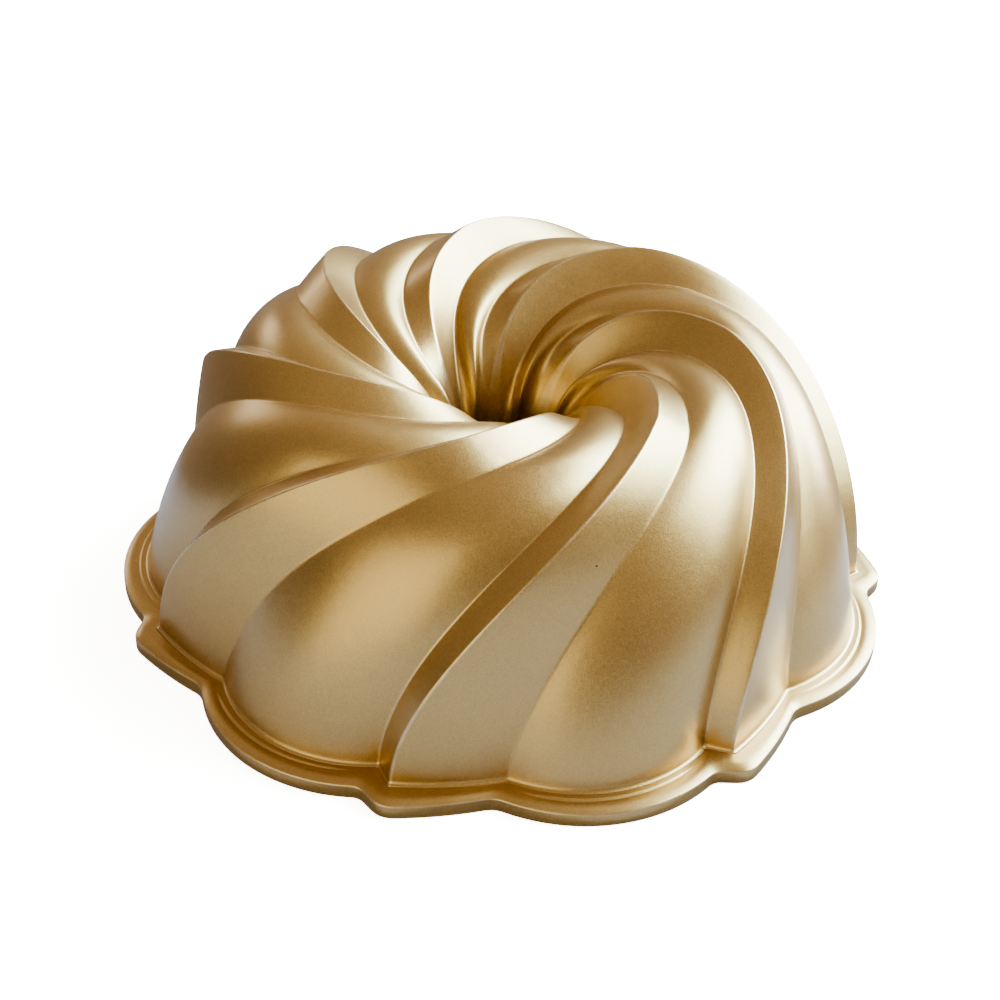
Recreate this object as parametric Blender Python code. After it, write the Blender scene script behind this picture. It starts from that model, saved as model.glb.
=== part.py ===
"""Swirled cast-aluminium bundt pan, lying rim down.

The pan is a single casting. It is modelled as its three regions: the fluted
swirl shell, the centre tube and the scalloped rim flange, 0.3 mm apart.
Origin: centre of the rim plane, on the swirl's axis. +Z points up, away from
the surface that the rim rests on. Sizes below are millimetres and degrees.
"""
import math
from collections import namedtuple

import bmesh
import bpy
from mathutils import Vector

MM = 0.001

# ---- driving dimensions ---------------------------------------------------
FLUTES = 7                 # identical flutes around the axis
PITCH = 360.0 / FLUTES     # angle of one flute
WALL = 3.6                 # thickness of the cast wall
GAP = 0.3                  # clearance between neighbouring regions
SHOULDER_Z = 6.3           # height at which the fluted wall meets the flange
THROAT_R = 17.2            # bore radius where the flutes have faded out
THROAT_Z = 34.3            # height of that throat
TUBE_END_R = 15.4          # bore radius at the tube's lower end
TUBE_END_Z = 3.0           # height of the tube's open lower end

# A flute is drawn by three lines that climb the wall, cross the crest and
# dive into the throat: valley, ridge and hollow. Every line is a pair of
# quarter superellipses in radius and height, turned by the swirl.
Line = namedtuple("Line", "base_r crest_r crest_z angle swirl hurry "
                          "out_r out_z in_r in_z")
VALLEY = Line(113.4, 66.8, 88.1, 46.5, 94.5, 2.13, 0.97, 1.19, 1.02, 0.91)
RIDGE = Line(120.3, 67.2, 96.6, 49.3, 110.0, 1.95, 1.05, 1.10, 0.93, 0.92)
HOLLOW = Line(112.4, 69.0, 89.3, 66.2, 110.9, 2.35, 0.89, 1.49, 1.01, 0.73)

# Convex swell of the lobe between a hollow and the next valley.
LOBE_SWELL_CREST = 2.2     # at the crest
LOBE_SWELL_BASE = 5.4      # extra at the base and at the throat
FADE_START = 0.8           # part of the line's run where the swell fades out

# Outline of the rim flange: radius and angle of its three corners.
RIM_VALLEY = (123.0, 45.0)
RIM_RIDGE = (127.8, 49.2)
RIM_HOLLOW = (118.9, 64.2)
RIM_LOBE_SWELL = 7.6
RIM_EDGE_Z = 4.6           # top of the flange's upright edge
RIM_ROUND = 1.0            # rounding of that edge
RIM_BEVEL = 0.5            # relief under that edge

# ---- resolution -------------------------------------------------------------
ROWS = 26                  # rows of the shell from base to throat
RIBBON_STEPS = 2           # columns from ridge to hollow
LOBE_STEPS = 6             # columns from hollow to next valley
COLUMNS_PER_FLUTE = 1 + RIBBON_STEPS + LOBE_STEPS
COLUMNS = FLUTES * COLUMNS_PER_FLUTE
TUBE_ROWS = 4


def cylindrical(radius, angle, height):
    """Point from a radius and height in millimetres and an angle in degrees."""
    turn = math.radians(angle)
    return Vector((radius * math.cos(turn), radius * math.sin(turn), height)) * MM


def line_at(line, run):
    """Radius, angle and height of a line at run, 0 at the base, 1 at the throat."""
    lean = math.pi * run
    across = abs(math.cos(lean))
    rise = max(math.sin(lean), 0.0)
    if run <= 0.5:
        radius = line.crest_r + (line.base_r - line.crest_r) * across ** line.out_r
        height = SHOULDER_Z + (line.crest_z - SHOULDER_Z) * rise ** line.out_z
    else:
        radius = line.crest_r - (line.crest_r - THROAT_R) * across ** line.in_r
        height = THROAT_Z + (line.crest_z - THROAT_Z) * rise ** line.in_z
    angle = line.angle + line.swirl * math.sin(lean / 2) ** line.hurry
    return radius, angle, height


def blend(first, second, part):
    """Point part of the way from one (radius, angle, height) to another."""
    return tuple(a + (b - a) * part for a, b in zip(first, second))


def lobe_swell(run):
    """Height of the lobe's swell, fading out before the throat."""
    fade = min(max((1.0 - run) / (1.0 - FADE_START), 0.0), 1.0)
    return (LOBE_SWELL_CREST + LOBE_SWELL_BASE * (1 - 2 * run) ** 2) * fade


def meridian_normal(run):
    """Outward direction, in radius and height, of the mean profile at run."""
    step = 0.01
    low = max(run - step, 0.0)
    high = min(run + step, 1.0)
    before, after = [blend(line_at(HOLLOW, at), line_at(VALLEY, at), 0.5)
                     for at in (low, high)]
    along = Vector((after[0] - before[0], after[2] - before[2])).normalized()
    return along.y, -along.x


def flute_ring(valley, ridge, hollow, swell_r, swell_z):
    """Ring of points through the three lines, its lobes swollen outwards.

    The ring starts on a valley. The step face runs from valley to ridge, the
    ribbon from ridge to hollow and the lobe from hollow to the next valley.
    """
    next_valley = (valley[0], valley[1] + PITCH, valley[2])
    flute = [valley]
    flute += [blend(ridge, hollow, i / RIBBON_STEPS) for i in range(RIBBON_STEPS)]
    for i in range(LOBE_STEPS):
        part = i / LOBE_STEPS
        radius, angle, height = blend(hollow, next_valley, part)
        crown = 4 * part * (1 - part)
        flute.append((radius + swell_r * crown, angle, height + swell_z * crown))
    return [cylindrical(radius, angle + PITCH * turn, height)
            for turn in range(FLUTES) for radius, angle, height in flute]


def shell_row(run):
    """One ring around the shell's outer surface."""
    valley, ridge, hollow = [line_at(line, run) for line in (VALLEY, RIDGE, HOLLOW)]
    normal_r, normal_z = meridian_normal(run)
    swell = lobe_swell(run)
    return flute_ring(valley, ridge, hollow, swell * normal_r, swell * normal_z)


def offset_rows(rows, depth):
    """Move every point into the wall, square to the faces that meet there."""
    moved = []
    for i, row in enumerate(rows):
        before = rows[max(i - 1, 0)]
        after = rows[min(i + 1, len(rows) - 1)]
        ring = []
        for j, point in enumerate(row):
            along = after[j] - before[j]
            left = (point - row[j - 1]).cross(along).normalized()
            right = (row[(j + 1) % len(row)] - point).cross(along).normalized()
            mitre = (left + right) / (1.0 + left.dot(right))
            ring.append(point + mitre * depth)
        moved.append(ring)
    return moved


def closed_band(name, rings, material):
    """Solid whose section is the closed loop of rings, all of equal length."""
    mesh = bmesh.new()
    loops = [[mesh.verts.new(point) for point in ring] for ring in rings]
    for lower, upper in zip(loops, loops[1:] + loops[:1]):
        for j in range(len(lower)):
            k = (j + 1) % len(lower)
            mesh.faces.new((lower[j], lower[k], upper[k], upper[j]))
    bmesh.ops.triangulate(mesh, faces=mesh.faces[:])
    bmesh.ops.recalc_face_normals(mesh, faces=mesh.faces[:])
    data = bpy.data.meshes.new(name)
    mesh.to_mesh(data)
    mesh.free()
    data.materials.append(material)
    data.shade_smooth()
    data.set_sharp_from_angle(angle=math.radians(35))
    piece = bpy.data.objects.new(name, data)
    bpy.context.collection.objects.link(piece)
    return piece


def metal(name, colour, roughness):
    """Satin metallic coat."""
    material = bpy.data.materials.new(name)
    material.use_nodes = True
    shader = material.node_tree.nodes["Principled BSDF"]
    shader.inputs["Base Color"].default_value = (*colour, 1.0)
    shader.inputs["Metallic"].default_value = 1.0
    shader.inputs["Roughness"].default_value = roughness
    return material


def flatten(ring, height):
    """The same ring, laid in the horizontal plane at height millimetres."""
    return [Vector((point.x, point.y, height * MM)) for point in ring]


def swirl_shell(outer, inner, material):
    """Fluted wall, crest and funnel: outer rows up and over, inner rows back."""
    rings = list(outer) + list(reversed(inner))
    return closed_band("swirl_shell", rings, material)


def rim_ring(inset, height):
    """Outline of the flange at a height, moved in by inset."""
    corners = [(radius - inset, angle, height)
               for radius, angle in (RIM_VALLEY, RIM_RIDGE, RIM_HOLLOW)]
    return flute_ring(*corners, RIM_LOBE_SWELL, 0.0)


def rim_flange(outer_base, inner_base, material):
    """Flat scalloped flange under the wall, flush with the cavity inside."""
    top = SHOULDER_Z - GAP
    rings = [
        flatten(inner_base, 0.0),
        rim_ring(RIM_BEVEL, 0.0),
        rim_ring(0.0, RIM_BEVEL),
        rim_ring(0.0, RIM_EDGE_Z),
        rim_ring(RIM_ROUND, RIM_EDGE_Z + RIM_ROUND),
        flatten(outer_base, top),
        flatten(inner_base, top),
    ]
    return closed_band("rim_flange", rings, material)


def centre_tube(material):
    """Open drafted tube that carries the funnel down to just above the rim."""
    top = THROAT_Z - GAP
    rings = []
    for wall in (0.0, WALL):
        side = []
        for i in range(TUBE_ROWS + 1):
            part = i / TUBE_ROWS
            radius = THROAT_R + (TUBE_END_R - THROAT_R) * part + wall
            height = top + (TUBE_END_Z - top) * part
            side.append([cylindrical(radius, 360.0 * j / COLUMNS, height)
                         for j in range(COLUMNS)])
        rings += side if wall == 0.0 else list(reversed(side))
    return closed_band("centre_tube", rings, material)


def build():
    for leftover in list(bpy.data.objects):
        bpy.data.objects.remove(leftover)
    outer = [shell_row(i / ROWS) for i in range(ROWS + 1)]
    inner = offset_rows(outer, -WALL * MM)
    inner[0] = flatten(inner[0], SHOULDER_Z)
    inner[-1] = flatten(inner[-1], THROAT_Z)
    swirl_shell(outer, inner, metal("satin_gold_wall", (0.60, 0.43, 0.21), 0.34))
    centre_tube(metal("satin_gold_tube", (0.55, 0.39, 0.19), 0.38))
    rim_flange(outer[0], inner[0], metal("satin_gold_rim", (0.62, 0.45, 0.23), 0.34))


build()
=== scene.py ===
"""Visual model of the swirled cast-aluminium bundt pan, lying rim down.

The pan's lengths are millimetres and its angles degrees; points are turned into
metres when a mesh is made. The stage and the lights are in metres. The frame's
three nodes are regions of one casting, so each is replaced by a finely shaped
piece that meets its neighbours without a seam.
"""
import math
from collections import namedtuple

import bpy
import numpy as np
from mathutils import Matrix, Vector


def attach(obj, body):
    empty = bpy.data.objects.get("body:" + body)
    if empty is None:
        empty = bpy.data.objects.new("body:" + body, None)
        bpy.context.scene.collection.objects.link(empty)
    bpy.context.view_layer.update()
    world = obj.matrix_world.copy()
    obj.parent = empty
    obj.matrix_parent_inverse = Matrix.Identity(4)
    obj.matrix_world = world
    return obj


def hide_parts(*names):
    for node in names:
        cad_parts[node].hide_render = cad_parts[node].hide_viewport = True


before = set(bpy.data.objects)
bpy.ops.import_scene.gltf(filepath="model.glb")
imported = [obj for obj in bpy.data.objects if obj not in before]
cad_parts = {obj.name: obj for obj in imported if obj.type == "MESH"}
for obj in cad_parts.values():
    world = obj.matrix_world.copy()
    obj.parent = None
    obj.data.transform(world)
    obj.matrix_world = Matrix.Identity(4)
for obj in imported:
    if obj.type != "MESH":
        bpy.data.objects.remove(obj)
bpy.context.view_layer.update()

MM = 0.001
FLAT = np.array([1.0, 1.0, 0.0])     # drops the height of x, y, z points

# ---- the flutes, as in the CAD model ----------------------------------------
FLUTES = 7
PITCH = 360.0 / FLUTES
WALL = 3.6                 # wall thickness
SHOULDER_Z = 6.3           # where wall and flange meet
THROAT_R = 17.2
THROAT_Z = 34.3
TUBE_END_R = 15.4
TUBE_END_Z = 3.0

# Three lines draw a flute. Each climbs the wall, crosses the crest and dives
# into the throat, as its run goes from 0 to 1.
Line = namedtuple("Line", "base_r crest_r crest_z angle swirl hurry "
                          "out_r out_z in_r in_z")
VALLEY = Line(113.4, 66.8, 88.1, 46.5, 94.5, 2.13, 0.97, 1.19, 1.02, 0.91)
RIDGE = Line(120.3, 67.2, 96.6, 49.3, 110.0, 1.95, 1.05, 1.10, 0.93, 0.92)
HOLLOW = Line(112.4, 69.0, 89.3, 66.2, 110.9, 2.35, 0.89, 1.49, 1.01, 0.73)

# Convex swell of the lobe between a hollow and the next valley.
LOBE_SWELL_CREST = 2.2
LOBE_SWELL_BASE = 5.4      # extra at the base and at the throat
FADE_START = 0.8           # run from which the swell fades out

# ---- the flange's outline: radius and angle of its corners before rounding ---
RIM_VALLEY = (123.2, 45.2)
RIM_RIDGE = (129.2, 49.3)
RIM_HOLLOW = (118.9, 64.2)
RIM_LOBE_SWELL = 7.6
OUTLINE_ROUND = (2.6, 4.0, 3.2)      # at the valley, the ridge and the hollow

# ---- rounding of the casting's edges, as the length trimmed off each face ----
RIDGE_ROUND = 0.85
VALLEY_ROUND = 0.8
HOLLOW_ROUND_CREST = 0.9
HOLLOW_ROUND_BASE = 1.4
HOLLOW_ROUND_RUN = 0.4               # run over which the base's rounding dies out
THROAT_ROUND = 3.0                   # added to all of these at the throat
THROAT_ROUND_START = 0.76            # run from which it is added
INNER_ROUND = (0.85, 0.8, 1.2)       # the cavity's edges over valley, ridge, hollow
FOOT_ROUND = 1.3                     # where the wall grows out of the flange
FOOT_RUNS = (0.0008, 0.0018, 0.003, 0.0045, 0.006, 0.011)   # extra rows across it

# ---- the flange's section -----------------------------------------------------
RIM_RELIEF = ((0.0, 0.8), (0.12, 0.35), (0.35, 0.12), (0.8, 0.0))   # inset, height
EDGE_MIDDLE_Z = 2.4
EDGE_Z = 5.2               # top of the upright edge
EDGE_ROUND = 0.7
EDGE_TURNS = (15, 30, 45, 60)        # degrees turned along that rounding
BAND_Z = 6.2               # the domed band where it nears the wall
BAND_CROWN = 2.6           # how square the dome is
BAND_PARTS = (0.04, 0.1, 0.2, 0.35, 0.5, 0.65, 0.8, 0.92, 1.0)
LEDGE_WIDTH = 2.4          # inner ledge that runs along each lobe
LEDGE_SINK = 0.42          # how far the band lies below the ledge
LEDGE_FADE = 0.16          # part of the lobe over which the ledge fades out
LEDGE_START = (0.5, 0.85)  # least and most of the width that lies outside it
LEDGE_RISER = 0.25         # part of the ledge's width that its riser takes
LEDGE_PARTS = (0.12, 0.25, 0.4, 0.6, 0.8)

# ---- the centre tube's section ------------------------------------------------
TUBE_DRAFT = 1.3           # above 1 the bore narrows more slowly near the throat
TUBE_LIP = 1.2             # rounding of the lower end
TUBE_LIP_STEP = 0.35       # how near the corner that rounding's middle point lies

# ---- rows around the pan and columns of one flute, from valley to valley ------
OUTER_ROWS = 132
INNER_ROWS = 96
TUBE_ROWS = 24
TUBE_COLUMNS = 224
STEP_COLUMNS = 4
RIBBON_COLUMNS = 10
LOBE_COLUMNS = 22
ROUND_COLUMNS = 5

# ---- the coating ----------------------------------------------------------------
NOISE_LOW = 0.3            # noise values that stand for the least and the most change
NOISE_HIGH = 0.7
GOLD = (0.563, 0.363, 0.141)
# lighter gold of worn places, also a painted highlight along the shell's ridges and valleys
WORN_AND_HIGHLIT_GOLD = (0.70, 0.53, 0.31)
PIT_COLOUR = (0.16, 0.10, 0.05)
GOLD_ROUGHNESS = 0.37
METALLIC = 0.92            # the binder between the flakes scatters the rest
FILM_WEIGHT = 0.65
FILM_ROUGHNESS = 0.25
FLAKE_SIZE = 0.45          # metallic grain of the paint
FLAKE_TINT = 0.085
FLAKE_ROUGH = 0.05
FLAKE_DEPTH = 0.007
CLOUD_SIZE = 34.0          # slow change of thickness and gloss
CLOUD_TINT = 0.03
CLOUD_ROUGH = 0.035
PEEL_SIZE = 3.5            # waviness of the cast surface below
PEEL_DEPTH = 0.02
WEAR_AND_HIGHLIGHT_SIZE = 6.0            # patches of heavier and lighter rubbing and painted highlight
WEAR_AND_HIGHLIGHT_LEAST = 0.3
# lighter gold along the ridges and a trace in the valleys: wear, together with a painted highlight
# on these edges
RIDGE_WEAR_AND_HIGHLIGHT = 0.8
VALLEY_WEAR_AND_HIGHLIGHT = 0.3
FLANGE_WEAR = 0.6
PIT_SPACING = 26.0
PIT_SIZE = 0.35
PIT_SHARE = 0.35           # part of the pits' places that hold one

# ---- the stage, in metres: four flat sheets on the floor's plane -----------------
FLOOR_HALF = 12.0
FLOOR_WHITE = 3.5          # above 1, so that it renders as plain white
FLOOR_GLOW = 0.68
TABLE_CENTRE = (-0.04, -0.33)        # the table is seen only in the pan's reflections
TABLE_RADIUS = 0.42
TABLE_COLOUR = (0.335, 0.36, 0.43)
TABLE_GLOW = 0.74
SHADE_RADIUS = 0.112       # inside the cavity, seen through the tube
SHADE_LIFT = 0.0002
SHADE_COLOUR = (0.40, 0.37, 0.33)
CONTACT_RADIUS = 0.131     # just past the flange
CONTACT_LIFT = 0.0001
CONTACT_COLOUR = (0.20, 0.19, 0.19)
CONTACT_GLOW = 0.5
DISC_TURN = 5              # degrees from one corner of a round sheet to the next

# ---- room and lights: azimuth 0 is along +Y and grows towards +X -----------------
ROOM_COLOUR = (1.0, 0.84, 0.70)
ROOM_LEVEL = 0.325
ROOM_SLOPE = (0.12, 0.08, 0.16)      # brighter towards the window and the ceiling
BACKDROP_WHITE = 6.0
SOFTBOX_DISTANCE = 2.5
Softbox = namedtuple("Softbox", "azimuth elevation width height radiance colour")
SOFTBOXES = {              # width and height are parts of the distance
    "window": Softbox(66, 35, 1.45, 0.92, 4.9, (0.70, 0.97, 1.05)),
    "window_core": Softbox(64, 34, 0.85, 0.60, 4.6, (0.62, 0.98, 1.8)),
    "window_glare": Softbox(52, 3, 0.38, 0.32, 10.0, (0.75, 0.90, 1.0)),
    "fill": Softbox(-145, 8, 1.07, 1.08, 1.30, (0.92, 1.0, 0.85)),
    "side": Softbox(-44, 17, 0.40, 0.32, 1.6, (0.85, 0.95, 1.0)),
}

# ---- the camera: in front of the pan (towards -Y), looking along +Y --------------
CAMERA_ELEVATION = 37.35
CAMERA_DISTANCE = 672.6    # millimetres from the origin
CAMERA_FOCAL = 70.18       # millimetres on the sensor
CAMERA_SENSOR = 36.0
CAMERA_YAW = -0.17
CAMERA_PITCH = 1.92
CAMERA_ROLL = 2.17


# ==== shape ======================================================================

def line_points(line, run):
    """Radius, angle and height along a line for an array of runs from 0 to 1."""
    lean = math.pi * run
    across = np.abs(np.cos(lean))
    rise = np.clip(np.sin(lean), 0.0, 1.0)
    outside = run <= 0.5
    radius = np.where(
        outside,
        line.crest_r + (line.base_r - line.crest_r) * across ** line.out_r,
        line.crest_r - (line.crest_r - THROAT_R) * across ** line.in_r)
    height = np.where(
        outside,
        SHOULDER_Z + (line.crest_z - SHOULDER_Z) * rise ** line.out_z,
        THROAT_Z + (line.crest_z - THROAT_Z) * rise ** line.in_z)
    angle = line.angle + line.swirl * np.sin(lean / 2) ** line.hurry
    return np.stack([radius, angle, height], -1)


def turned(points, angle):
    """The same (radius, angle, height) points, turned about the axis."""
    return points + np.array([0.0, angle, 0.0])


def cartesian(points):
    """(radius, angle, height) as x, y, z, still in millimetres."""
    turn = np.radians(points[..., 1])
    return np.stack([points[..., 0] * np.cos(turn),
                     points[..., 0] * np.sin(turn), points[..., 2]], -1)


def cylindrical(points, near_angle):
    """x, y, z as (radius, angle, height), the angle kept close to near_angle."""
    radius = np.hypot(points[..., 0], points[..., 1])
    angle = np.degrees(np.arctan2(points[..., 1], points[..., 0]))
    angle += 360.0 * np.round((near_angle - angle) / 360.0)
    return np.stack([radius, angle, points[..., 2]], -1)


def unit(vectors):
    length = np.linalg.norm(vectors, axis=-1, keepdims=True)
    return vectors / np.maximum(length, 1e-12)


def eased(part):
    """0 to 1 with level ends."""
    return part * part * (3 - 2 * part)


def meridian_normal(first, second):
    """Outward (radius, 0, height) direction of the mean of two lines."""
    along = np.gradient((first + second) / 2, axis=0)
    along[:, 1] = 0.0
    along = unit(along)
    return np.stack([along[:, 2], np.zeros(len(along)), -along[:, 0]], -1)


def lobe_swell(run):
    """Height of the lobe's swell, fading out before the throat."""
    fade = eased(np.clip((1.0 - run) / (1.0 - FADE_START), 0.0, 1.0))
    return (LOBE_SWELL_CREST + LOBE_SWELL_BASE * (1 - 2 * run) ** 2) * fade


class Flute:
    """Corner lines and lobe swell of one flute, one entry for each row."""

    def __init__(self, valley, ridge, hollow, swell):
        self.valley = valley
        self.ridge = ridge
        self.hollow = hollow
        self.swell = swell

    def step(self, part):
        return self.valley + (self.ridge - self.valley) * part

    def ribbon(self, part):
        return self.ridge + (self.hollow - self.ridge) * part

    def lobe(self, part):
        far = turned(self.valley, PITCH)
        crown = 4 * part * (1 - part)
        return self.hollow + (far - self.hollow) * part + self.swell * crown

    def columns(self, rounds):
        """Points of the flute's columns, edges rounded, as rows x columns x 3.

        rounds holds the trimmed length at valley, ridge and hollow, one value
        or an array of one for each row.
        """
        valley, ridge, hollow = [np.broadcast_to(r, len(self.valley)) for r in rounds]
        far = turned(self.valley, PITCH)
        step_size = span(self.valley, self.ridge)
        ribbon_size = span(self.ridge, self.hollow)
        lobe_size = span(self.hollow, far)
        step_from = share(valley, step_size)
        step_to = 1 - share(ridge, step_size)
        ribbon_from = share(ridge, ribbon_size)
        ribbon_to = 1 - share(hollow, ribbon_size)
        lobe_from = share(hollow, lobe_size)
        lobe_to = 1 - share(valley, lobe_size)
        next_step = turned(self.step(step_from), PITCH)
        stretches = [
            face(self.step, step_from, step_to, STEP_COLUMNS),
            corner(self.step(step_to), self.ridge, self.ribbon(ribbon_from)),
            face(self.ribbon, ribbon_from, ribbon_to, RIBBON_COLUMNS),
            corner(self.ribbon(ribbon_to), self.hollow, self.lobe(lobe_from)),
            face(self.lobe, lobe_from, lobe_to, LOBE_COLUMNS),
            corner(self.lobe(lobe_to), far, next_step),
        ]
        return np.concatenate(stretches, axis=1)


def span(first, second):
    """Distance between two lines, row by row."""
    return np.linalg.norm(cartesian(first) - cartesian(second), axis=-1)


def share(length, whole):
    """Part of a face that a rounding takes, at most four tenths of it."""
    return np.minimum(length / np.maximum(whole, 1e-6), 0.4)[:, None]


def face(edge, start, end, count):
    """Evenly spaced columns across a face, its last point left to the corner."""
    parts = np.linspace(0.0, 1.0, count, endpoint=False)
    return np.stack([edge(start + (end - start) * p) for p in parts], axis=1)


def corner(before, tip, after):
    """Quadratic rounding from one face to the next, its last point left out."""
    parts = np.linspace(0.0, 1.0, ROUND_COLUMNS, endpoint=False)
    return np.stack([before * (1 - p) ** 2 + tip * 2 * p * (1 - p) + after * p * p
                     for p in parts], axis=1)


def whole_ring(columns):
    """All flutes' columns side by side."""
    return np.concatenate([turned(columns, PITCH * i) for i in range(FLUTES)], axis=1)


def outer_flute(run):
    """The flute's outer surface at an array of runs."""
    valley, ridge, hollow = [line_points(line, run) for line in (VALLEY, RIDGE, HOLLOW)]
    swell = lobe_swell(run)[:, None] * meridian_normal(hollow, valley)
    return Flute(valley, ridge, hollow, swell)


def inner_flute(outer):
    """The same flute, every face moved in by the wall's thickness."""
    before_lobe = [outer.valley, outer.ridge, outer.ribbon(0.5)]
    lobe_steps = 6
    on_lobe = [outer.lobe(i / lobe_steps) for i in range(lobe_steps)]
    ring = np.stack(before_lobe + on_lobe, axis=1)
    solid = cartesian(ring)
    before = cartesian(turned(ring[:, -1:], -PITCH))
    after = cartesian(turned(ring[:, :1], PITCH))
    solid = np.concatenate([before, solid, after], axis=1)
    along = np.gradient(solid, axis=0)[:, 1:-1]
    left = unit(np.cross(solid[:, 1:-1] - solid[:, :-2], along))
    right = unit(np.cross(solid[:, 2:] - solid[:, 1:-1], along))
    mitre = (left + right) / (1.0 + (left * right).sum(-1, keepdims=True))
    moved = cylindrical(solid[:, 1:-1] - mitre * WALL, ring[..., 1])
    moved[0, :, 2] = SHOULDER_Z
    moved[-1, :, 2] = THROAT_Z
    valley, ridge, hollow = moved[:, 0], moved[:, 1], moved[:, len(before_lobe)]
    middle = moved[:, len(before_lobe) + lobe_steps // 2]
    chord = (hollow + turned(valley, PITCH)) / 2
    return Flute(valley, ridge, hollow, middle - chord)


def shell_rings():
    """The shell's rings: outside from foot to throat, inside from throat to foot."""
    run = np.sort(np.append(np.linspace(0.0, 1.0, OUTER_ROWS), FOOT_RUNS))
    near_base = np.clip(1 - run / HOLLOW_ROUND_RUN, 0, 1) ** 2
    hollow_round = HOLLOW_ROUND_CREST + (HOLLOW_ROUND_BASE - HOLLOW_ROUND_CREST) * near_base
    near_throat = np.clip((run - THROAT_ROUND_START) / (1 - THROAT_ROUND_START), 0, 1)
    extra = THROAT_ROUND * near_throat
    rounds = (VALLEY_ROUND + extra, RIDGE_ROUND + extra, hollow_round + extra)
    outside = with_foot(outer_flute(run).columns(rounds))
    inside = inner_flute(outer_flute(np.linspace(0.0, 1.0, INNER_ROWS))).columns(INNER_ROUND)
    return cartesian(whole_ring(outside)), cartesian(whole_ring(inside))[::-1]


def with_foot(outside):
    """Flare the wall into a concave foot, over the lowest stretch of FOOT_ROUND."""
    height = outside[..., 2] - SHOULDER_Z
    short = np.clip(1 - height / FOOT_ROUND, 0.0, 1.0)
    flared = outside.copy()
    flared[..., 0] += FOOT_ROUND * (1 - np.sqrt(1 - short ** 2))
    return flared


# ==== meshes =====================================================================

def band_mesh(name, rings, wear_and_highlight=0.0):
    """Closed band of quads through rings of equal length, in millimetres.

    Its last argument weights the lighter gold: 1 where handling rubs the coating and where a
    highlight is painted, 0 elsewhere.
    """
    rings = np.asarray(rings, float)
    rows, columns = rings.shape[:2]
    lower = np.arange(rows * columns).reshape(rows, columns)
    upper = np.roll(lower, -1, axis=0)
    faces = np.stack([lower, np.roll(lower, -1, 1), np.roll(upper, -1, 1), upper], -1)
    data = bpy.data.meshes.new(name)
    data.from_pydata((rings.reshape(-1, 3) * MM).tolist(), [],
                     faces.reshape(-1, 4).tolist())
    values = np.broadcast_to(wear_and_highlight, rings.shape[:2]).astype(np.float32).ravel()
    data.attributes.new("wear_and_highlight", "FLOAT", "POINT").data.foreach_set("value", values)
    data.validate()
    data.shade_smooth()
    piece = bpy.data.objects.new(name, data)
    bpy.context.scene.collection.objects.link(piece)
    return piece


def shell_wear_and_highlight(outer_rows, inner_rows):
    """Wear and painted highlight of the shell's rings: on the ridges, and a trace in the valleys.
    """
    flute = np.zeros(STEP_COLUMNS + RIBBON_COLUMNS + LOBE_COLUMNS + 3 * ROUND_COLUMNS)
    flute[STEP_COLUMNS + 1:STEP_COLUMNS + ROUND_COLUMNS] = RIDGE_WEAR_AND_HIGHLIGHT
    flute[1 - ROUND_COLUMNS:] = VALLEY_WEAR_AND_HIGHLIGHT
    ring = np.tile(flute, FLUTES)
    return np.concatenate([np.tile(ring, (outer_rows, 1)),
                           np.zeros((inner_rows, len(ring)))])


def make_shell():
    """The shell, and the outer and inner ring that it stands on."""
    outside, inside = shell_rings()
    piece = band_mesh("swirl_shell_surface", np.concatenate([outside, inside]),
                      shell_wear_and_highlight(len(outside), len(inside)))
    return piece, outside[0], inside[-1]


def outline_ring():
    """Flange outline at the floor, in the same columns as the wall's foot."""
    valley, ridge, hollow = [np.array([[radius, angle, 0.0]])
                             for radius, angle in (RIM_VALLEY, RIM_RIDGE, RIM_HOLLOW)]
    flute = Flute(valley, ridge, hollow, np.array([[RIM_LOBE_SWELL, 0.0, 0.0]]))
    return cartesian(whole_ring(flute.columns(OUTLINE_ROUND)))[0]


def ledge_share():
    """How much of the inner ledge each column has: all along a lobe, none elsewhere."""
    part = np.linspace(0.0, 1.0, LOBE_COLUMNS)
    lobe = eased(np.clip(np.minimum(part, 1.0 - part) / LEDGE_FADE, 0.0, 1.0))
    before = STEP_COLUMNS + RIBBON_COLUMNS + 2 * ROUND_COLUMNS
    flute = np.concatenate([np.zeros(before), lobe, np.zeros(ROUND_COLUMNS)])
    return np.tile(flute, FLUTES)[:, None]


def moved_ring(ring, direction, distance, level):
    """A ring moved sideways and laid at a height."""
    moved = ring + direction * distance
    moved[:, 2:] = level
    return moved


def edge_arc(turn):
    """Inset and height on the rounding of the flange's upper edge."""
    turn = math.radians(turn)
    return EDGE_ROUND * (1 - math.cos(turn)), EDGE_Z - EDGE_ROUND * (1 - math.sin(turn))


def band_section(width):
    """Inset and height of the flange's top from the rounded edge to the wall."""
    start, low = edge_arc(EDGE_TURNS[-1])
    band = width - start
    outer_part = np.clip(1.0 - LEDGE_WIDTH / band, *LEDGE_START)
    ledge = ledge_share()
    bottom = BAND_Z - ledge * LEDGE_SINK
    section = []
    for part in BAND_PARTS:
        crown = 1 - (1 - part) ** BAND_CROWN
        top = low + (BAND_Z - low) * crown - ledge * LEDGE_SINK * part ** 3
        section.append((start + band * outer_part * part, top))
    for part in LEDGE_PARTS:
        climb = eased(min(part / LEDGE_RISER, 1.0))
        top = bottom + (SHOULDER_Z - bottom) * (ledge * climb + (1 - ledge) * part ** 2)
        section.append((start + band * (outer_part + (1 - outer_part) * part), top))
    return section


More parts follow.
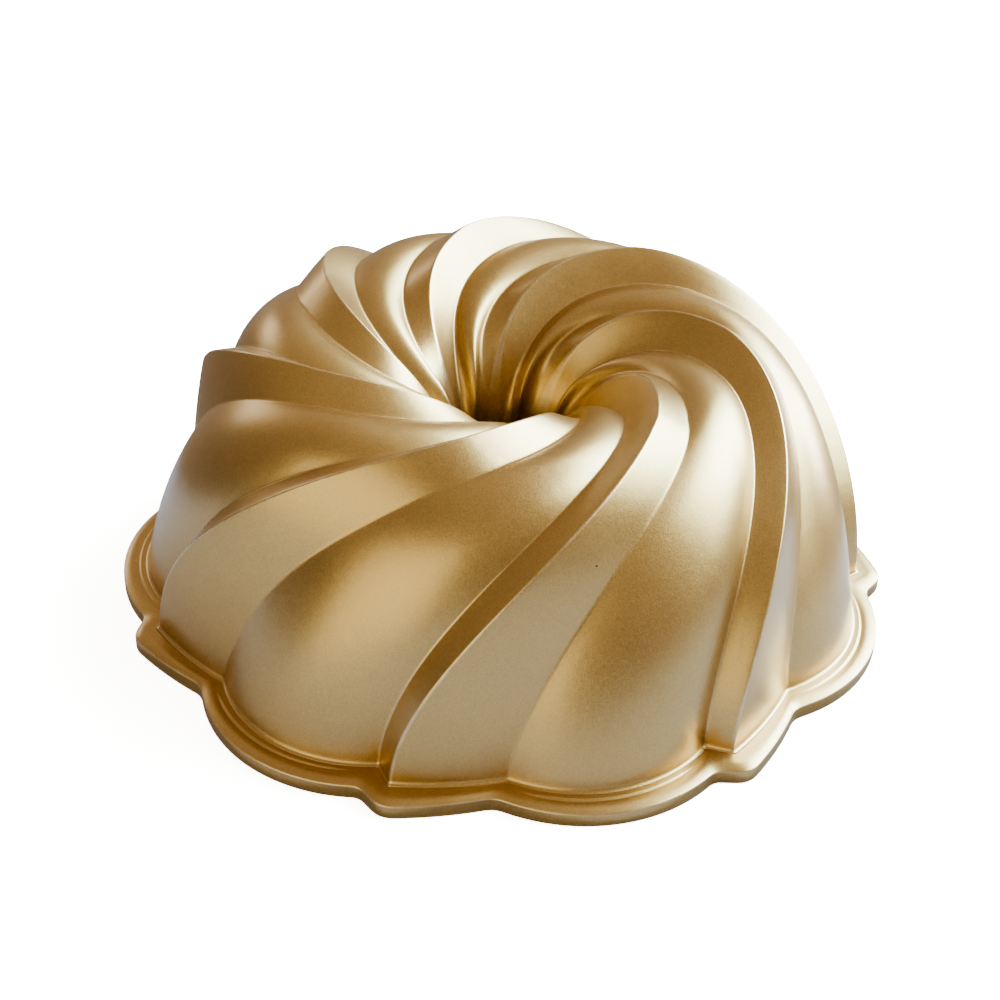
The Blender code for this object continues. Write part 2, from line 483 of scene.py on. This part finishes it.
def flange_rings(foot, inner_foot):
    """Rings of the flange's section, from the cavity's edge round to the foot."""
    edge = outline_ring()
    across = (foot - edge) * FLAT
    width = np.linalg.norm(across, axis=1, keepdims=True)
    inward = across / width
    outward = unit(inner_foot * FLAT)
    cavity_side = [(0.0, SHOULDER_Z), *RIM_RELIEF]
    edge_side = [*reversed(RIM_RELIEF), (0.0, EDGE_MIDDLE_Z), (0.0, EDGE_Z - EDGE_ROUND)]
    edge_side += [edge_arc(turn) for turn in EDGE_TURNS]
    edge_side += band_section(width)
    rings = [moved_ring(inner_foot, outward, inset, level) for inset, level in cavity_side]
    rings += [moved_ring(edge, inward, inset, level) for inset, level in edge_side]
    rings.append(foot)
    return rings


def make_flange(foot, inner_foot):
    rings = np.array(flange_rings(foot, inner_foot))
    height = rings[:, :1, 2]
    lightened = (height > EDGE_Z - EDGE_ROUND) & (height < EDGE_Z)
    return band_mesh("rim_flange_surface", rings, lightened * FLANGE_WEAR)


def make_tube():
    """Open drafted tube from the throat to just above the rim."""
    bore = []
    for i in range(TUBE_ROWS + 1):
        part = i / TUBE_ROWS
        bore.append((THROAT_R + (TUBE_END_R - THROAT_R) * part ** TUBE_DRAFT,
                     THROAT_Z + (TUBE_END_Z + TUBE_LIP - THROAT_Z) * part))
    outer_end_r = TUBE_END_R + WALL
    lip = [(TUBE_END_R + TUBE_LIP_STEP, TUBE_END_Z + TUBE_LIP_STEP),
           (TUBE_END_R + TUBE_LIP, TUBE_END_Z),
           (outer_end_r - TUBE_LIP, TUBE_END_Z),
           (outer_end_r - TUBE_LIP_STEP, TUBE_END_Z + TUBE_LIP_STEP)]
    outside = [(radius + WALL, height) for radius, height in reversed(bore)]
    angles = np.linspace(0.0, 360.0, TUBE_COLUMNS, endpoint=False)
    points = [[(radius, angle, height) for angle in angles]
              for radius, height in bore + lip + outside]
    return band_mesh("centre_tube_surface", cartesian(np.array(points)))


# ==== materials ==================================================================

MIX_FIRST = 6              # sockets of a Mix node that mixes colours
MIX_SECOND = 7
MIX_RESULT = 2


def new_material(name):
    """A node material, its node tree and its Principled shader."""
    material = bpy.data.materials.new(name)
    material.use_nodes = True
    tree = material.node_tree
    return material, tree, tree.nodes["Principled BSDF"]


def add_node(tree, kind, inputs=(), **settings):
    """New shader node; inputs are pairs of a socket and a value or an output."""
    made = tree.nodes.new("ShaderNode" + kind)
    for key, value in settings.items():
        setattr(made, key, value)
    for socket, value in inputs:
        if isinstance(value, bpy.types.NodeSocket):
            tree.links.new(value, made.inputs[socket])
        else:
            made.inputs[socket].default_value = value
    return made


def noise(tree, place, size, detail, low, high):
    """Noise of a feature size in millimetres, spread between low and high."""
    grain = add_node(tree, "TexNoise", [("Vector", place), ("Scale", 1 / (size * MM)),
                                        ("Detail", detail)])
    spread = add_node(tree, "MapRange", [("Value", grain.outputs[0]),
                                         ("From Min", NOISE_LOW), ("From Max", NOISE_HIGH),
                                         ("To Min", low), ("To Max", high)])
    return spread.outputs[0]


def math_node(tree, operation, *values):
    made = add_node(tree, "Math", enumerate(values), operation=operation)
    return made.outputs[0]


def colour_mix(tree, part, first, second):
    made = add_node(tree, "Mix", [(0, part), (MIX_FIRST, first), (MIX_SECOND, second)],
                    data_type="RGBA")
    return made.outputs[MIX_RESULT]


def pinholes(tree, place):
    """1 in the few tiny pits of the coating, else 0."""
    cells = add_node(tree, "TexVoronoi", [("Vector", place), ("Scale", 1 / (PIT_SPACING * MM))])
    near = math_node(tree, "LESS_THAN", cells.outputs["Distance"], PIT_SIZE / PIT_SPACING)
    red = add_node(tree, "SeparateColor", [(0, cells.outputs["Color"])]).outputs[0]
    return math_node(tree, "MULTIPLY", near, math_node(tree, "LESS_THAN", red, PIT_SHARE))


def wear_and_highlight_patches(tree, place):
    """The pieces' wear and painted highlight, broken into patches."""
    patchy = noise(tree, place, WEAR_AND_HIGHLIGHT_SIZE, 2.0, WEAR_AND_HIGHLIGHT_LEAST, 1.0)
    lightened = add_node(tree, "Attribute", attribute_name="wear_and_highlight").outputs["Fac"]
    return math_node(tree, "MULTIPLY", lightened, patchy)


def coat_colour(tree, place, flakes, cloud):
    """Gold with its grain, slow tint, rubbed places, painted highlights on ridges and valleys, and
    pits.
    """
    tint = math_node(tree, "MULTIPLY_ADD", flakes, FLAKE_TINT, 1.0)
    tint = math_node(tree, "MULTIPLY_ADD", cloud, CLOUD_TINT, tint)
    # lighter gold for wear, and for a highlight painted along the shell's ridges and valleys
    gold = colour_mix(tree, wear_and_highlight_patches(tree, place), (*GOLD, 1.0), (*WORN_AND_HIGHLIT_GOLD, 1.0))
    gold = add_node(tree, "VectorMath", [(0, gold), ("Scale", tint)], operation="SCALE").outputs[0]
    return colour_mix(tree, pinholes(tree, place), gold, (*PIT_COLOUR, 1.0))


def coat_roughness(tree, flakes, cloud):
    rough = math_node(tree, "MULTIPLY_ADD", cloud, CLOUD_ROUGH, GOLD_ROUGHNESS)
    return math_node(tree, "MULTIPLY_ADD", flakes, FLAKE_ROUGH, rough)


def coat_normal(tree, place, flakes):
    """Waviness of the casting with the paint's grain on top."""
    peel = noise(tree, place, PEEL_SIZE, 1.0, 0.0, 1.0)
    soft = add_node(tree, "Bump", [("Height", peel), ("Distance", PEEL_DEPTH * MM)])
    fine = add_node(tree, "Bump", [("Height", flakes), ("Distance", FLAKE_DEPTH * MM),
                                   ("Normal", soft.outputs[0])])
    return fine.outputs[0]


def satin_gold():
    """Fine-grained gold coating under a soft clear film."""
    material, tree, shader = new_material("satin_gold_coat")
    place = add_node(tree, "TexCoord").outputs["Object"]
    flakes = noise(tree, place, FLAKE_SIZE, 1.0, -1.0, 1.0)
    cloud = noise(tree, place, CLOUD_SIZE, 3.0, -1.0, 1.0)
    tree.links.new(coat_colour(tree, place, flakes, cloud), shader.inputs["Base Color"])
    tree.links.new(coat_roughness(tree, flakes, cloud), shader.inputs["Roughness"])
    tree.links.new(coat_normal(tree, place, flakes), shader.inputs["Normal"])
    shader.inputs["Metallic"].default_value = METALLIC
    shader.inputs["Coat Weight"].default_value = FILM_WEIGHT
    shader.inputs["Coat Roughness"].default_value = FILM_ROUGHNESS
    return material


def paper(name, colour, glow=0.0):
    """Matt paper that may glow in its own colour."""
    material, tree, shader = new_material(name)
    shader.inputs["Base Color"].default_value = (*colour, 1.0)
    shader.inputs["Roughness"].default_value = 1.0
    shader.inputs["Specular IOR Level"].default_value = 0.0
    shader.inputs["Emission Color"].default_value = (*colour, 1.0)
    shader.inputs["Emission Strength"].default_value = glow
    return material


# ==== stage, lights and camera ===================================================

def sheet(name, outline, lift, material):
    """Flat face of the stage, in metres. It casts no shadow and no diffuse light."""
    data = bpy.data.meshes.new(name)
    data.from_pydata([(x, y, lift) for x, y in outline], [], [range(len(outline))])
    data.materials.append(material)
    made = bpy.data.objects.new(name, data)
    made.visible_diffuse = False
    made.visible_shadow = False
    bpy.context.scene.collection.objects.link(made)
    return made


def square(half):
    return [(x * half, y * half) for x, y in ((-1, -1), (1, -1), (1, 1), (-1, 1))]


def disc(radius, centre=(0.0, 0.0)):
    turns = np.radians(np.arange(0, 360, DISC_TURN))
    return [(centre[0] + radius * math.cos(t), centre[1] + radius * math.sin(t))
            for t in turns]


def make_floor():
    """The white floor that the camera sees, and what the pan reflects in its place.

    The pan reflects a duller table and, close to the flange, its own contact
    shadow. The shade under it darkens what is seen down the tube.
    """
    white = paper("floor_paper", (FLOOR_WHITE,) * 3, FLOOR_GLOW)
    floor = sheet("floor", square(FLOOR_HALF), 0.0, white)
    floor.visible_glossy = False
    table = sheet("table", disc(TABLE_RADIUS, TABLE_CENTRE), 0.0,
                  paper("table_paper", TABLE_COLOUR, TABLE_GLOW))
    table.visible_camera = False
    sheet("under_pan", disc(SHADE_RADIUS), SHADE_LIFT, paper("shade_paper", SHADE_COLOUR))
    contact = sheet("contact", disc(CONTACT_RADIUS), CONTACT_LIFT,
                    paper("contact_paper", CONTACT_COLOUR, CONTACT_GLOW))
    contact.visible_camera = False


def make_room():
    """Dim sloped room for the pan, plain white to the camera."""
    world = bpy.data.worlds.new("studio")
    world.use_nodes = True
    tree = world.node_tree
    place = add_node(tree, "TexCoord").outputs["Generated"]
    slope = add_node(tree, "VectorMath", [(0, place), (1, ROOM_SLOPE)], operation="DOT_PRODUCT")
    level = math_node(tree, "ADD", slope.outputs["Value"], ROOM_LEVEL)
    room = tree.nodes["Background"]
    room.inputs["Color"].default_value = (*ROOM_COLOUR, 1.0)
    tree.links.new(level, room.inputs["Strength"])
    white = add_node(tree, "Background", [("Strength", BACKDROP_WHITE)])
    seen = add_node(tree, "LightPath").outputs["Is Camera Ray"]
    mix = add_node(tree, "MixShader", [(0, seen), (1, room.outputs[0]), (2, white.outputs[0])])
    tree.links.new(mix.outputs[0], tree.nodes["World Output"].inputs["Surface"])
    bpy.context.scene.world = world


def make_softbox(name, box):
    """Rectangular light that faces the pan."""
    turn, rise = math.radians(box.azimuth), math.radians(box.elevation)
    away = Vector((math.sin(turn) * math.cos(rise), math.cos(turn) * math.cos(rise),
                   math.sin(rise)))
    data = bpy.data.lights.new(name, "AREA")
    data.shape = "RECTANGLE"
    data.size = box.width * SOFTBOX_DISTANCE
    data.size_y = box.height * SOFTBOX_DISTANCE
    data.energy = box.radiance * math.pi * data.size * data.size_y
    data.color = box.colour
    lamp = bpy.data.objects.new(name, data)
    lamp.location = away * SOFTBOX_DISTANCE
    lamp.rotation_euler = (-away).to_track_quat("-Z", "Y").to_euler()
    lamp.visible_camera = False
    bpy.context.scene.collection.objects.link(lamp)


def make_lights():
    make_room()
    for name, box in SOFTBOXES.items():
        make_softbox(name, box)
    settings = bpy.context.scene.view_settings
    settings.view_transform = "AgX"
    settings.look = "AgX - High Contrast"


def make_camera():
    rise = math.radians(CAMERA_ELEVATION)
    place = Vector((0.0, -math.cos(rise), math.sin(rise))) * CAMERA_DISTANCE * MM
    aim = Matrix.Rotation(math.radians(90.0 - CAMERA_ELEVATION), 4, "X")
    # The camera's own axes: x to the right, y up, z back.
    yaw = Matrix.Rotation(math.radians(-CAMERA_YAW), 4, "Y")
    nod = Matrix.Rotation(math.radians(CAMERA_PITCH), 4, "X")
    roll = Matrix.Rotation(math.radians(CAMERA_ROLL), 4, "Z")
    data = bpy.data.cameras.new("camera")
    data.lens = CAMERA_FOCAL
    data.sensor_width = CAMERA_SENSOR
    camera = bpy.data.objects.new("camera", data)
    camera.matrix_world = Matrix.Translation(place) @ aim @ yaw @ nod @ roll
    bpy.context.scene.collection.objects.link(camera)
    bpy.context.scene.camera = camera


# ==== build ======================================================================

def add_piece(piece, node, material):
    """Finish a piece, and let it stand for its CAD node."""
    piece.data.materials.append(material)
    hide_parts(node)
    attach(piece, "root")


def main():
    coat = satin_gold()
    shell, foot, inner_foot = make_shell()
    add_piece(shell, "swirl_shell", coat)
    add_piece(make_flange(foot, inner_foot), "rim_flange", coat)
    add_piece(make_tube(), "centre_tube", coat)
    make_floor()
    make_lights()
    make_camera()


main()
